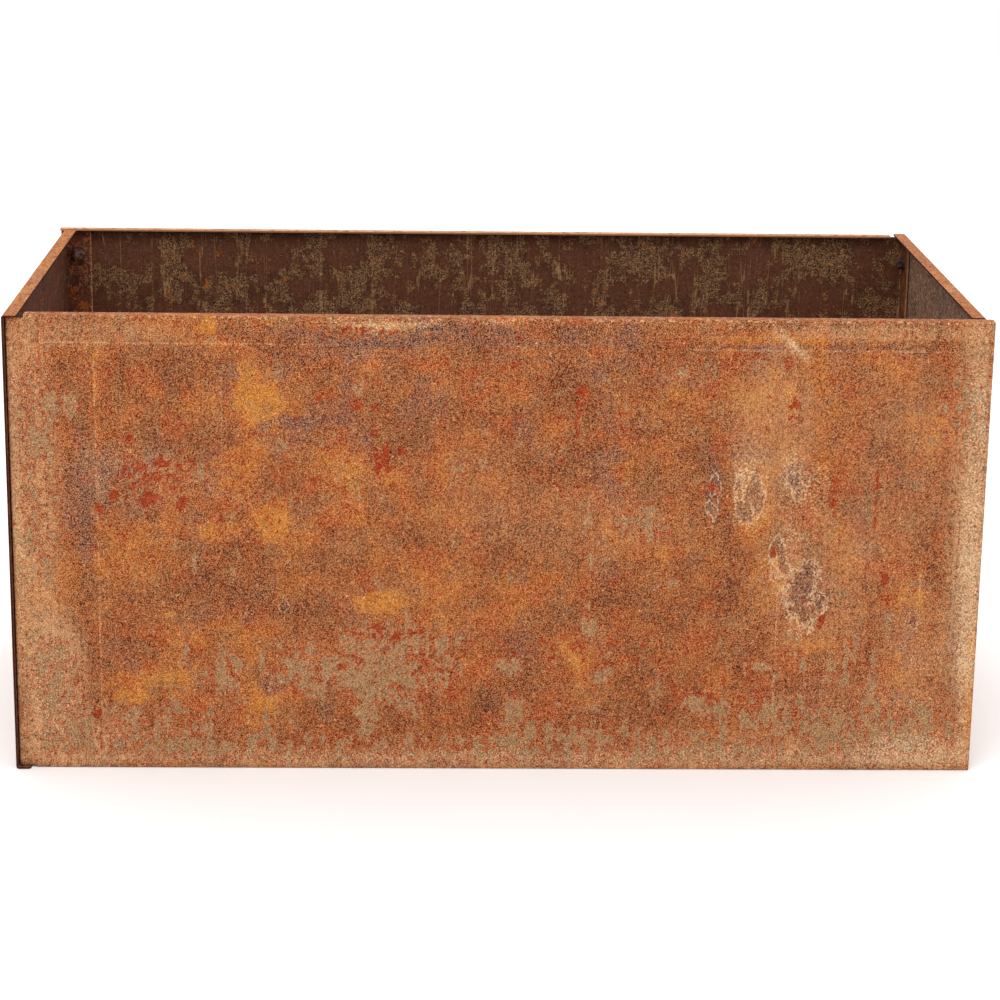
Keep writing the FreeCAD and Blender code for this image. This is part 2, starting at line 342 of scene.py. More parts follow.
def outsideRust():
    finish, tree, shader, place = newFinish("outsideRust")
    tones = rustTones
    light, _ = crystals(tree, place, 0.72)
    fine = grain(tree, place, 2.0, 3.0, 0.7, shift=4.1)
    fleck = grain(tree, place, 4.5, 4.0, 0.7, shift=11.3)
    warm = grain(tree, place, 24, 3.0, 0.55, shift=6.4)
    patchy = grain(tree, place, 60, 5.0, 0.62, shift=1.3)
    cool = grain(tree, place, 46, 4.0, 0.6, shift=5.2)
    ragged = grain(tree, place, 15, 6.0, 0.68, stretch=(1, 1, 1.5), shift=9.6)
    drips = grain(tree, place, 8, 3.0, 0.6, stretch=(1, 1, 9), shift=14.2)
    runs = grain(tree, place, 3.4, 3.0, 0.6, stretch=(1, 1, 50), shift=2.4)
    rolled = grain(tree, place, 2.6, 2.0, 0.6, stretch=(60, 60, 1), shift=3.4)
    kinds = ("ochre", "plum", "haze", "bare", "tide", "lime", "wearAndHighlight", "ember")
    stain = {kind: painted(tree, kind) for kind in kinds}

    # how fresh the rust is, from old umber to new yellow
    age = plus(tree, patchy, (stain["ochre"], 0.26, 0.0), (stain["plum"], -0.12, 0.0))
    age = plus(tree, age, (runs, 0.12), (rolled, 0.12), (fine, 0.16), (drips, 0.12))
    stops = [(0.24, "umber"), (0.37, "brown"), (0.50, "base"), (0.62, "orange"), (0.72, "yellow")]
    colour = ramp(tree, age, [(where, tones[name]) for where, name in stops])

    # redder and duller stretches, as light as each other
    lively = plus(tree, warm, (fleck, 0.3))
    colour = lay(tree, colour, tones["rusty"], rise(tree, lively, 0.50, 0.68, 0.65))
    colour = lay(tree, colour, tones["dull"], rise(tree, lively, 0.50, 0.32, 0.6))

    # a grey or purple cast where the oxide is old
    cast = plus(tree, cool, (stain["plum"], 0.24, 0.0), (fine, 0.2))
    colour = lay(tree, colour, tones["mauve"], rise(tree, cast, 0.55, 0.68, 0.5))
    colour = lay(tree, colour, tones["plum"], rise(tree, cast, 0.66, 0.80, 0.75))

    # a pale haze where the rain has run off and dried
    streaky = rise(tree, plus(tree, fleck, (runs, 0.5)), 0.30, 0.56)
    colour = lay(tree, colour, tones["haze"], times(tree, stain["haze"], streaky))

    # steel that the rain has kept nearly bare, with a red rim where the rust starts
    bareness = plus(tree, ragged, (stain["bare"], 0.34, 0.0), (drips, 0.34))
    colour = lay(tree, colour, tones["ash"], rise(tree, plus(tree, bareness, (fine, 0.3)), 0.56, 0.70, 0.5))
    rim = times(tree, rise(tree, bareness, 0.58, 0.64), rise(tree, stain["bare"], 0.05, 0.3))
    colour = lay(tree, colour, tones["redRim"], times(tree, rim, 0.7))
    bare = rise(tree, bareness, 0.645, 0.675, 0.9)
    colour = lay(tree, colour, tones["steel"], bare)
    bubbles = times(tree, blisters(tree, place, 7.5, 0.4, 3.7), bare)
    colour = lay(tree, colour, tones["rusty"], times(tree, bubbles, 0.9))

    # tide marks: an old grey stain inside a ragged cream line
    tide = plus(tree, stain["tide"], (ragged, 2.2), (fine, 0.5))
    inTide = rise(tree, stain["tide"], 0.03, 0.2)
    line = times(tree, rise(tree, awayFrom(tree, tide, 0.45), 0.07, 0.03, 0.7), inTide)
    old = times(tree, rise(tree, tide, 0.47, 0.62, 0.6), inTide)
    colour = lay(tree, colour, tones["plum"], old)
    colour = lay(tree, colour, tones["cream"], times(tree, line, rise(tree, fine, 0.36, 0.52)))

    # small blisters of new rust, and pits
    golden = plus(tree, fleck, (stain["ochre"], 0.09, 0.0))
    colour = lay(tree, colour, tones["yellow"], rise(tree, golden, 0.62, 0.70, 0.75))
    colour = lay(tree, colour, tones["umber"], rise(tree, fleck, 0.37, 0.30, 0.7))

    # dried lime, in small pale flecks
    limed = plus(tree, fine, (stain["lime"], 0.22, 0.0), (patchy, 0.3))
    colour = lay(tree, colour, tones["cream"], rise(tree, limed, 0.62, 0.76, 0.65))

    # fine straight marks from handling, upright and level
    patches = rise(tree, plus(tree, ragged, (fleck, 0.8)), 0.40, 0.58)
    for way in ("up", "level"):
        away = maths(tree, "ABSOLUTE", plus(tree, painted(tree, way + "Off"), (fleck, 2.0)))
        mark = times(tree, rise(tree, away, 1.2, 0.4, 0.7), painted(tree, way + "Mark"))
        colour = lay(tree, colour, tones["blush"], times(tree, mark, patches))

    # rubbed bends, lips and free edges: partly real wear and partly a painted highlight where the sheet turns
    # and catches the light
    rubbedAndLit = plus(tree, fleck, (stain["wearAndHighlight"], 0.34, 0.0))
    colour = lay(tree, colour, tones["blush"], rise(tree, rubbedAndLit, 0.60, 0.74, 0.85))

    # wet red spots
    spots = grain(tree, place, 8, 4.0, 0.65, shift=9.1)
    wet = plus(tree, spots, (fine, 0.3), (stain["ember"], 0.32, 0.0))
    colour = lay(tree, colour, tones["redRim"], rise(tree, wet, 0.60, 0.70, 0.8))
    soaked = rise(tree, wet, 0.66, 0.74)
    colour = lay(tree, colour, tones["red"], times(tree, soaked, 0.9))

    # every crystal of rust is lighter or darker than the next, less so where it's wet
    colour = lay(tree, colour, tones["glint"], rise(tree, light, 0.5, 1.0), "ADD")
    colour = lay(tree, colour, tones["soot"], rise(tree, light, 0.5, 0.0), "SUBTRACT")
    colour = lay(tree, colour, tones["red"], times(tree, soaked, 0.5))

    rough = sloped(tree, light, 0.2, 0.7)
    heights = maths(tree, "ADD", times(tree, light, 0.15), fleck)
    finishOff(tree, shader, colour, rough, heights, 0.0004, gloss=0.15)
    return finish


# share is how strong the threads are where they're dense, cover how much of the sheet is bare of
# them, and vein the size of the net that they make, in mm
insideTones = {
    "back": {
        "base": tone(88, 45, 24), "dark": tone(58, 28, 14), "thread": tone(194, 150, 102),
        "mist": tone(142, 112, 92), "orange": tone(166, 82, 26), "share": 0.75, "cover": 0.46, "vein": 2.4,
    },
    "left": {
        "base": tone(96, 47, 28), "dark": tone(64, 30, 16), "thread": tone(170, 118, 90),
        "mist": tone(160, 116, 96), "orange": tone(172, 88, 34), "share": 0.6, "cover": 0.36, "vein": 7.0,
    },
    "right": {
        "base": tone(124, 88, 66), "dark": tone(92, 60, 44), "thread": tone(186, 156, 130),
        "mist": tone(176, 146, 124), "orange": tone(150, 86, 44), "share": 0.85, "cover": 0.30, "vein": 7.0,
    },
}


def insideRust(name, tones):
    finish, tree, shader, place = newFinish(name)
    fine = grain(tree, place, 2.2, 3.0, 0.7, shift=1.9)
    light, _ = crystals(tree, place, 1.2, shift=2.2)
    vein = grain(tree, place, tones["vein"], 2.0, 0.55, shift=4.4, twist=0.8)
    blotch = grain(tree, place, 48, 4.0, 0.6, shift=6.1)
    ragged = grain(tree, place, 16, 4.0, 0.65, shift=8.3)
    runs = grain(tree, place, 9, 3.0, 0.6, stretch=(1, 1, 2.4), shift=2.2)
    trails = grain(tree, place, 13, 2.0, 0.5, stretch=(1, 1, 30), shift=12.6)
    scratches = grain(tree, place, 1.8, 2.0, 0.6, stretch=(30, 30, 1), shift=7.7)

    # old brown in two depths
    aged = plus(tree, blotch, (ragged, 0.7), (scratches, 0.3))
    colour = lay(tree, tones["base"], tones["dark"], rise(tree, aged, 0.42, 0.58, 0.85))

    # a net of pale threads, dense in some zones and misty in the others
    zone = plus(tree, blotch, (runs, 0.5), (ragged, 0.7), (scratches, 0.3))
    thread = rise(tree, awayFrom(tree, vein, 0.5), 0.05, 0.012)
    cover = tones["cover"]
    dense = times(tree, thread, rise(tree, zone, cover, cover + 0.12, tones["share"]))
    misty = times(tree, thread, rise(tree, zone, cover + 0.04, cover - 0.12, 0.3))
    colour = lay(tree, colour, tones["thread"], dense)
    colour = lay(tree, colour, tones["mist"], misty)

    # thin trails where water ran down
    trail = rise(tree, awayFrom(tree, trails, 0.5), 0.009, 0.002, 0.4)
    colour = lay(tree, colour, tones["thread"], times(tree, trail, rise(tree, ragged, 0.40, 0.56)))

    # fresh orange, mostly on the flanges that are bolted up
    fresh = plus(tree, ragged, (fine, 0.5), (painted(tree, "fresh"), 0.16, 0.0))
    colour = lay(tree, colour, tones["orange"], rise(tree, fresh, 0.63, 0.72, 0.8))
    colour = shade(tree, colour, light, 0.8, 1.2)
    # wear and painted highlight: a pale blush on the inner bends and a light line along the flanges' free
    # edges
    rubbedAndLit = plus(tree, fine, (painted(tree, "wearAndHighlight"), 0.34, 0.0))
    colour = lay(tree, colour, rustTones["blush"], rise(tree, rubbedAndLit, 0.64, 0.76, 0.8))
    rough = sloped(tree, fine, 0.25, 0.6)
    finishOff(tree, shader, colour, rough, maths(tree, "ADD", fine, ragged), 0.0004, gloss=0.25)
    return finish


def cutEdgeRustAndShade():
    finish, tree, shader, place = newFinish("cutEdgeRustAndShade")
    fine = grain(tree, place, 1.6, 3.0, 0.7, shift=0.7)
    drag = grain(tree, place, 3, 2.0, 0.6, stretch=(1, 1, 8), shift=5.5)
    dragged = plus(tree, fine, (drag, 0.8))
    # dark rust with painted shade: every cut edge is made near black-brown to stand for the shade on the
    # recessed edges beside the bends
    colour = lay(tree, tone(44, 17, 8), tone(86, 42, 20), rise(tree, dragged, 0.5, 0.72))
    colour = shade(tree, colour, fine, 0.75, 1.3)
    # painted highlight: the flanges' free edges are made light, as if they caught the light
    rubbedAndLit = plus(tree, fine, (painted(tree, "wearAndHighlight"), 0.6, 0.0))
    colour = lay(tree, colour, tone(160, 112, 78), rise(tree, rubbedAndLit, 0.64, 0.84, 0.9))
    rough = sloped(tree, fine, 0.2, 0.7)
    finishOff(tree, shader, colour, rough, maths(tree, "ADD", fine, drag), 0.0002, gloss=0.15)
    return finish


outside = outsideRust()
insides = {side: insideRust(side + "InsideRust", tones) for side, tones in insideTones.items()}
cutEdge = cutEdgeRustAndShade()
print("rust finishes made")


# ---- folded panels

foldedSheet = {
    "thick": 2.0,
    "bend": 2.0,             # radius at the middle of the sheet
    "bendSteps": 6,
    "lip": 15.0,
    "lipCorner": 3.0,
    "setback": 18.0,         # from the flange's face to where the lips start
    "notchSteps": (6.5, 10.0, 14.0),
    "lipMiddle": 7.5,
    "row": 3.75,             # height of one mesh row
    "flangeCell": 4.0,
    "hole": 9.0,
    "nutReach": 7.5,         # from a nut's middle to its corner
    "sway": 0.5,             # how far the flat part wanders from true
    "swayIn": 0.1,           # and how far in it lies on the whole
    "swaySize": 260.0,
    "calmEdge": 45.0,        # no wander this near to a bend or an end
    "edgeRound": 0.25,
    "limeRise": 0.2,         # thickness of the dried lime
    "lipStains": {"bare": 0.3, "ember": 0.25, "plum": 0.2},
    "flangeFresh": 0.6,
    # painted highlight along the flanges' free edges
    "freeEdgeHighlight": 0.8,
}

# the bend and lip values paint wear together with a painted highlight on the bends and lips
panelPlans = {
    "frontPanel": {
        "node": "front_panel", "corner": "front_left", "turns": 0, "cell": 3.75, "seed": 3,
        "inside": "back", "lipOchre": 0.4, "lipWearAndHighlight": 0.2, "bendWearAndHighlight": 0.32,
    },
    "rightPanel": {
        "node": "right_panel", "corner": "front_right", "turns": 1, "cell": 7.5, "seed": 11,
        "inside": "right", "lipOchre": 0.9, "lipWearAndHighlight": 0.05, "bendWearAndHighlight": 0.3,
    },
    "backPanel": {
        "node": "back_panel", "corner": "back_right", "turns": 2, "cell": 7.5, "seed": 23,
        "inside": "back", "lipOchre": 0.1, "lipWearAndHighlight": 0.8, "bendWearAndHighlight": 0.5,
    },
    "leftPanel": {
        "node": "left_panel", "corner": "back_left", "turns": 3, "cell": 7.5, "seed": 37,
        "inside": "left", "lipOchre": 1.3, "lipWearAndHighlight": 0.0, "bendWearAndHighlight": 0.25,
    },
}

# stains on the front, in mm: across from the middle, height, half width, half height, strength, and
# for some a turn in degrees
frontStains = {
    "ochre": [
        (-244, 398, 26, 40, 0.8), (-254, 336, 26, 22, 0.75), (-230, 268, 20, 24, 0.7),
        (-282, 256, 30, 14, 0.6), (-120, 182, 32, 13, 1.0, 8), (-404, 420, 3, 26, 0.9),
        (-345, 410, 8, 14, 0.5), (275, 370, 30, 60, 0.5), (262, 285, 22, 46, 0.55),
        (296, 398, 6, 24, 0.9), (300, 215, 18, 34, 0.6), (480, 390, 14, 6, 0.7),
        (495, 80, 5, 80, 1.0), (-374, 78, 22, 9, 1.0), (-333, 167, 6, 5, 0.9),
        (-270, 150, 50, 18, 0.45, 10), (330, 462, 140, 7, 0.55), (438, 195, 3, 38, 0.9),
        (-240, 60, 20, 24, 0.45), (-430, 8, 40, 5, 0.9), (-405, 245, 2, 185, 0.45),
        (-110, 466, 46, 8, 0.9), (-290, 470, 8, 10, 0.9), (440, 372, 40, 14, 0.35),
        (-350, 100, 60, 14, 0.5, 12), (-200, 200, 30, 20, 0.45), (80, 270, 30, 10, 0.3),
        (440, 40, 40, 8, 0.5), (330, 140, 40, 8, 0.3), (60, 200, 80, 20, 0.2),
    ],
    "plum": [
        (-20, 462, 230, 12, 0.6), (-140, 410, 110, 70, 0.22), (-262, 353, 54, 6, 0.7, 30),
        (-185, 372, 38, 6, 0.6), (-366, 308, 70, 48, 0.4),
        (-128, 452, 52, 5, 0.8), (-150, 415, 8, 30, 0.6), (-240, 462, 80, 8, 0.5),
        (222, 298, 9, 34, 0.8), (-418, 330, 8, 90, 0.25), (305, 320, 20, 16, 0.6),
        (335, 200, 14, 36, 0.6), (476, 165, 8, 76, 0.8), (-160, 258, 16, 6, 0.6),
        (-418, 190, 8, 60, 0.45), (120, 430, 90, 30, 0.2), (400, 150, 40, 30, 0.2),
        (230, 86, 80, 2.5, 0.5), (-60, 440, 200, 3, 0.4), (200, 452, 200, 3, 0.5),
        (430, 400, 8, 60, 0.5), (185, 440, 14, 10, 0.4), (-230, 90, 14, 12, 0.6),
    ],
    "bare": [
        (430, 60, 60, 40, 0.45), (-460, 340, 24, 130, 0.42),
        (-437, 388, 18, 14, 0.5), (-452, 100, 24, 46, 0.62),
        (-437, 38, 34, 26, 0.5), (-316, 122, 5, 22, 0.6), (-280, 104, 22, 30, 0.6),
        (-372, 43, 6, 24, 0.6), (-98, 112, 76, 50, 0.6), (-135, 62, 16, 36, 0.6),
        (-190, 112, 46, 34, 0.5), (17, 112, 18, 12, 0.6), (97, 160, 10, 22, 0.55),
        (113, 105, 14, 10, 0.55), (175, 202, 20, 5, 0.5, 20), (222, 70, 26, 14, 0.6),
        (276, 114, 10, 6, 0.6), (300, 62, 70, 22, 0.5), (354, 50, 30, 20, 0.55),
        (98, 262, 12, 34, 0.45), (150, 270, 36, 26, 0.42), (185, 427, 16, 10, 0.5),
        (470, 380, 20, 60, 0.5), (250, 30, 250, 22, 0.4), (-60, 22, 330, 20, 0.36),
        (-28, 326, 20, 14, 0.45), (-330, 44, 120, 34, 0.42), (385, 110, 30, 60, 0.32),
        (40, 60, 60, 30, 0.35), (300, 110, 60, 30, 0.3), (-140, 410, 10, 14, 0.5),
    ],
    "haze": [
        (-474, 300, 30, 200, 0.7), (-455, 110, 36, 66, 0.95), (-440, 34, 60, 36, 0.95),
        (-380, 28, 80, 20, 0.4), (488, 300, 26, 240, 0.7), (446, 110, 50, 70, 0.25),
        (440, 26, 110, 24, 0.65), (290, 24, 170, 20, 0.5), (180, 12, 320, 10, 0.5),
        (-40, 10, 240, 10, 0.4), (-260, 12, 220, 10, 0.4), (360, 60, 70, 40, 0.3),
        (330, 200, 60, 80, 0.35), (280, 360, 44, 90, 0.4), (-370, 312, 56, 36, 0.15),
        (410, 330, 50, 120, 0.2), (296, 455, 26, 4.5, 1.0, -42), (390, 468, 110, 8, 0.5),
        (-410, 462, 90, 14, 0.4), (-110, 472, 46, 4, 0.6), (-20, 300, 40, 60, 0.15),
        (90, 270, 90, 40, 0.2),
    ],
    "tide": [
        (318, 190, 26, 44, 0.6, 6), (258, 296, 18, 34, 0.6), (306, 306, 18, 22, 0.5, -8),
        (222, 298, 9, 30, 0.5), (288, 230, 10, 26, 0.6), (-216, 177, 5, 5, 0.9),
    ],
    "ember": [
        (-373, 355, 6, 4, 1.0), (-366, 320, 26, 18, 0.42), (-325, 318, 18, 12, 0.42),
        (-350, 302, 44, 26, 0.14), (-403, 280, 6, 8, 0.85), (-354, 289, 9, 9, 1.0),
        (-388, 292, 5, 6, 0.9), (-338, 330, 6, 5, 0.9), (-319, 286, 5, 9, 1.0, -20),
        (-122, 386, 6, 7, 0.9), (-144, 390, 6, 7, 0.8), (-112, 336, 4, 18, 0.8),
        (-121, 326, 4, 22, 0.75, 6), (-125, 362, 5, 6, 0.8), (-180, 395, 5, 4, 0.8),
        (-185, 312, 6, 5, 0.8), (64, 340, 3, 60, 0.4), (81, 378, 4, 28, 0.5),
        (124, 345, 3, 62, 0.4), (86, 405, 7, 5, 0.85), (-97, 343, 5, 4, 0.9),
        (387, 290, 3, 42, 0.45), (338, 163, 4, 8, 1.0), (300, 386, 8, 18, 0.5),
        (-110, 150, 50, 10, 0.45), (-60, 100, 60, 30, 0.3), (345, 300, 3, 40, 0.5),
        (20, 378, 5, 4, 0.8), (35, 460, 30, 6, 0.4), (401, 209, 4, 8, 0.9),
        (404, 188, 5, 4, 0.8), (285, 240, 5, 8, 0.6), (-150, 118, 16, 14, 0.4),
        (222, 304, 6, 8, 0.7), (-410, 60, 8, 5, 0.7), (-140, 464, 40, 8, 0.4),
        (-10, 430, 60, 10, 0.3), (250, 440, 60, 10, 0.25), (-260, 300, 60, 60, 0.18),
        (100, 130, 120, 20, 0.25), (230, 90, 60, 16, 0.3),
    ],
    "lime": [
        (258, 300, 22, 50, 0.5), (300, 300, 14, 60, 0.4), (488, 290, 14, 200, 0.75),
        (-372, 318, 60, 34, 0.26), (330, 300, 22, 30, 0.4), (296, 455, 24, 3.5, 0.8, -42),
        (-60, 475, 330, 3, 0.5), (330, 474, 150, 4, 0.5), (200, 14, 300, 14, 0.42),
        (-200, 14, 180, 12, 0.4), (440, 20, 70, 22, 0.6), (-486, 250, 5, 240, 0.4),
        (445, 160, 20, 100, 0.25), (310, 240, 24, 30, 0.35), (490, 130, 10, 110, 0.8),
        (-110, 470, 46, 6, 0.5), (-455, 80, 30, 70, 0.42), (-400, 300, 6, 20, 0.5),
    ],
}


# straight marks on the front, in mm: the line's place, where it starts and stops along its length, strength
frontMarks = {
    "up": [
        (-405, 50, 440, 0.7), (291, 20, 250, 0.6), (438, 158, 236, 0.8), (-278, 326, 424, 0.5),
        (-141, 20, 120, 0.4), (98, 40, 330, 0.25), (-210, 30, 150, 0.25), (222, 250, 360, 0.4),
    ],
    "level": [
        (452, -480, -150, 0.7), (441, -140, -60, 0.4), (449, 180, 470, 0.6), (86, 150, 310, 0.35),
        (463, 150, 480, 0.4), (12, -470, 480, 0.35),
    ],
}

markEdges = {
    "reach": 12,             # nothing is marked further than this from the line
    "soft": 6,
    "endFade": 25,
    "clear": 20.0,           # written where there's no line at all
}


def scatteredMarks(seed, halfLength):
    # a few marks on a side that isn't the front
    pick = random.Random(seed + 100)
    marks = {"up": [], "level": []}
    for _ in range(5):
        low = pick.uniform(20, 300)
        marks["up"].append((pick.uniform(-halfLength, halfLength), low, low + pick.uniform(60, 180), 0.5))
    for _ in range(3):
        start = pick.uniform(-halfLength, 0)
        marks["level"].append((pick.uniform(10, 470), start, start + pick.uniform(100, 400), 0.45))
    return marks


def markPaint(lines, offset, along):
    # how far each point is to one side of the nearest line, and how strong that line is there
    reach, soft = markEdges["reach"], markEdges["soft"]
    off = np.full(len(offset), markEdges["clear"])
    strength = np.zeros(len(offset))
    for where, start, stop, value in lines:
        away = offset - where
        near = (np.abs(away) < reach) & (along > start) & (along < stop)
        off[near] = away[near]
        ends = np.clip(np.minimum(along - start, stop - along) / markEdges["endFade"], 0, 1)
        strength[near] = (value * ends * np.clip((reach - np.abs(away)) / soft, 0, 1))[near]
    return off, strength


# stains on the other sides: how many, smallest and largest half width in mm, strength
stainKinds = {
    "ochre": (9, 12, 46, 0.6),
    "plum": (8, 14, 60, 0.5),
    "bare": (9, 12, 60, 0.5),
    "haze": (7, 20, 90, 0.6),
    "tide": (3, 10, 34, 0.6),
    "ember": (16, 4, 14, 0.8),
    "lime": (8, 12, 50, 0.4),
}


def scatteredStains(seed, halfLength):
    # stains for a side that stands in the weather like the front: same kinds, other places
    pick = random.Random(seed)
    stains = {}
    for kind, (count, small, large, strength) in stainKinds.items():
        rows = []
        for _ in range(count):
            across = pick.uniform(-halfLength, halfLength)
            height = pick.uniform(20, 460)
            wide = pick.uniform(small, large)
            tall = pick.uniform(small, large) * pick.choice((0.6, 1.0, 1.8))
            value = strength * pick.uniform(0.7, 1.2)
            rows.append((across, height, wide, tall, value, pick.uniform(-12, 12)))
        stains[kind] = rows
    stains["bare"].append((0, 30, halfLength, 34, 0.4))
    stains["haze"].append((0, 20, halfLength, 24, 0.6))
    stains["lime"].append((0, 15, halfLength, 16, 0.3))
    stains["lime"].append((0, 474, halfLength, 6, 0.35))
    stains["ochre"].append((0, 466, halfLength, 9, 0.35))
    return stains


def stainStrength(rows, across, height):
    # full within about half of each stain's reach, then fading; stains that overlap build up
    kept = np.ones(len(across))
    for x, z, wide, tall, strength, *turn in rows:
        angle = math.radians(turn[0] if turn else 0)
        dx = (across - x) * math.cos(angle) + (height - z) * math.sin(angle)
        dz = (height - z) * math.cos(angle) - (across - x) * math.sin(angle)
        reach = np.sqrt((dx / wide) ** 2 + (dz / tall) ** 2)
        fade = np.clip((1.35 - reach) / 0.8, 0, 1)
        kept *= 1 - np.clip(strength * fade * fade * (3 - 2 * fade), 0, 1)
    return 1 - kept


def stations(start, stop, step, anchor):
    # evenly stepped places from start to stop that pass through anchor, with no very short last step
    low, high = min(start, stop), max(start, stop)
    first = math.ceil((low - anchor) / step)
    last = math.floor((high - anchor) / step)
    places = [anchor + step * k for k in range(first, last + 1)]
    places = [p for p in places if p - low > 0.45 * step and high - p > 0.45 * step]
    places = [low] + places + [high]
    return places if start < stop else places[::-1]


def nearest(places, target):
    return min(range(len(places)), key=lambda k: abs(places[k] - target))


# a round hole takes the place of four by four cells; these are the mesh points round it, in order
holeRing = [(a, -2) for a in range(-2, 2)] + [(2, b) for b in range(-2, 2)]
holeRing += [(a, 2) for a in range(2, -2, -1)] + [(-2, b) for b in range(2, -2, -1)]


def holeCells(i, j):
    return {(i + a, j + b) for a in range(-2, 2) for b in range(-2, 2)}


def bridge(wide, tight):
    # the quads between two rings of points
    count = len(wide)
    return [(wide[k], wide[(k + 1) % count], tight[(k + 1) % count], tight[k]) for k in range(count)]


def addSheet(name, points, quads, finishes, paint, edgeRound, placing=Matrix()):
    # a closed sheet; points are the outer skin's and then the inner skin's, in the same order
    count = len(points) // 2
    edges = dict.fromkeys((a, b) for quad in quads for a, b in zip(quad, quad[1:] + quad[:1]))
    rim = [(b, a, count + a, count + b) for a, b in edges if (b, a) not in edges]
    back = [tuple(count + k for k in quad[::-1]) for quad in quads]
    mesh = bpy.data.meshes.new(name)
    mesh.from_pydata((np.array(points) * mm).tolist(), [], quads + back + rim)
    mesh.transform(placing)
    for finish in finishes:
        mesh.materials.append(finish)
    rimSlot = len(finishes) - 1
    slots = [0] * len(quads) + [rimSlot - 1] * len(back) + [rimSlot] * len(rim)
    mesh.polygons.foreach_set("material_index", slots)
    mesh.polygons.foreach_set("use_smooth", [slot < rimSlot for slot in slots])
    for kind, values in paint.items():
        layer = mesh.attributes.new(kind, "FLOAT", "POINT")
        layer.data.foreach_set("value", np.array(values, dtype=np.float32))
    mesh.update()
    sheet = addToScene(name, mesh)
    soften = sheet.modifiers.new("brokenEdges", "BEVEL")
    soften.width = edgeRound * mm
    soften.segments = 1
    soften.limit_method = "ANGLE"
    soften.angle_limit = math.radians(50)
    return sheet


def bendArc(turn, bend, start, sweep, steps):
    # points along a bend, short of both its ends, with their outward normals
    arc = []
    for k in range(1, steps):
        angle = math.radians(start + sweep * k / steps)
        c, s = math.cos(angle), math.sin(angle)
        arc.append((turn + bend * c, turn + bend * s, c, s))
    return arc


def lipCornerAt(x, d, length, spec):
    # how far a point of the lip moves along and in, to round the lip's free corners
    corner = spec["lipCorner"]
    fromStart, fromEnd = x - spec["setback"], length - x
    p = corner - min(fromStart, fromEnd)
    q = corner - (spec["lip"] - d)
    if p <= 0 or q <= 0:
        return 0.0, 0.0
    side = 1 if fromStart < fromEnd else -1
    newP = p * math.sqrt(1 - (q / corner) ** 2 / 2)
    newQ = q * math.sqrt(1 - (p / corner) ** 2 / 2)
    return side * (p - newP), newQ - q


def swayFlat(spots, onFlat, length, height, seed, spec):
    # the flat part isn't quite flat
    edge = np.minimum.reduce([spots[:, 0], length - spots[:, 0], spots[:, 2], height - spots[:, 2]])
    calm = np.clip(edge / spec["calmEdge"], 0, 1)
    calm = calm * calm * (3 - 2 * calm) * onFlat
    scale = 1 / spec["swaySize"]
    for k in np.nonzero(calm > 0)[0]:
        x, _, z = spots[k]
        wander = noise.noise((x * scale, z * scale, seed))
        wander += 0.4 * noise.noise((x * scale * 3, z * scale * 3, seed + 50))
        spots[k, 1] += (wander * spec["sway"] + spec["swayIn"]) * calm[k]


def panelPaint(name, plan, spec, spots, normals, across, length, flange):
    height = spots[:, 2]
    if name == "frontPanel":
        stains, marks = frontStains, frontMarks
    else:
        stains = scatteredStains(plan["seed"], length / 2)
        marks = scatteredMarks(plan["seed"], length / 2)
    paint = {kind: stainStrength(rows, across, height) for kind, rows in stains.items()}
    paint["upOff"], paint["upMark"] = markPaint(marks["up"], across, height)
    paint["levelOff"], paint["levelMark"] = markPaint(marks["level"], height, across)
    onFlange = normals[:, 0] == -1.0
    onLip = (np.abs(normals[:, 2]) > 0.99).astype(float)
    slants = np.abs(normals[:, [0, 2]])
    onBend = np.any((slants > 0.01) & (slants < 0.99), axis=1)
    # wear and painted highlight: a pale blush on the bends and lips and a light line on the flanges' free
    # edges
    paint["wearAndHighlight"] = np.maximum(onBend * plan["bendWearAndHighlight"], onLip * plan["lipWearAndHighlight"])
    paint["wearAndHighlight"][onFlange & (spots[:, 1] == flange)] = spec["freeEdgeHighlight"]
    paint["ochre"] = np.maximum(paint["ochre"], onLip * plan["lipOchre"])
    for kind, strength in spec["lipStains"].items():
        paint[kind] = np.maximum(paint[kind], onLip * strength)
    paint["fresh"] = onFlange * spec["flangeFresh"]
    return paint


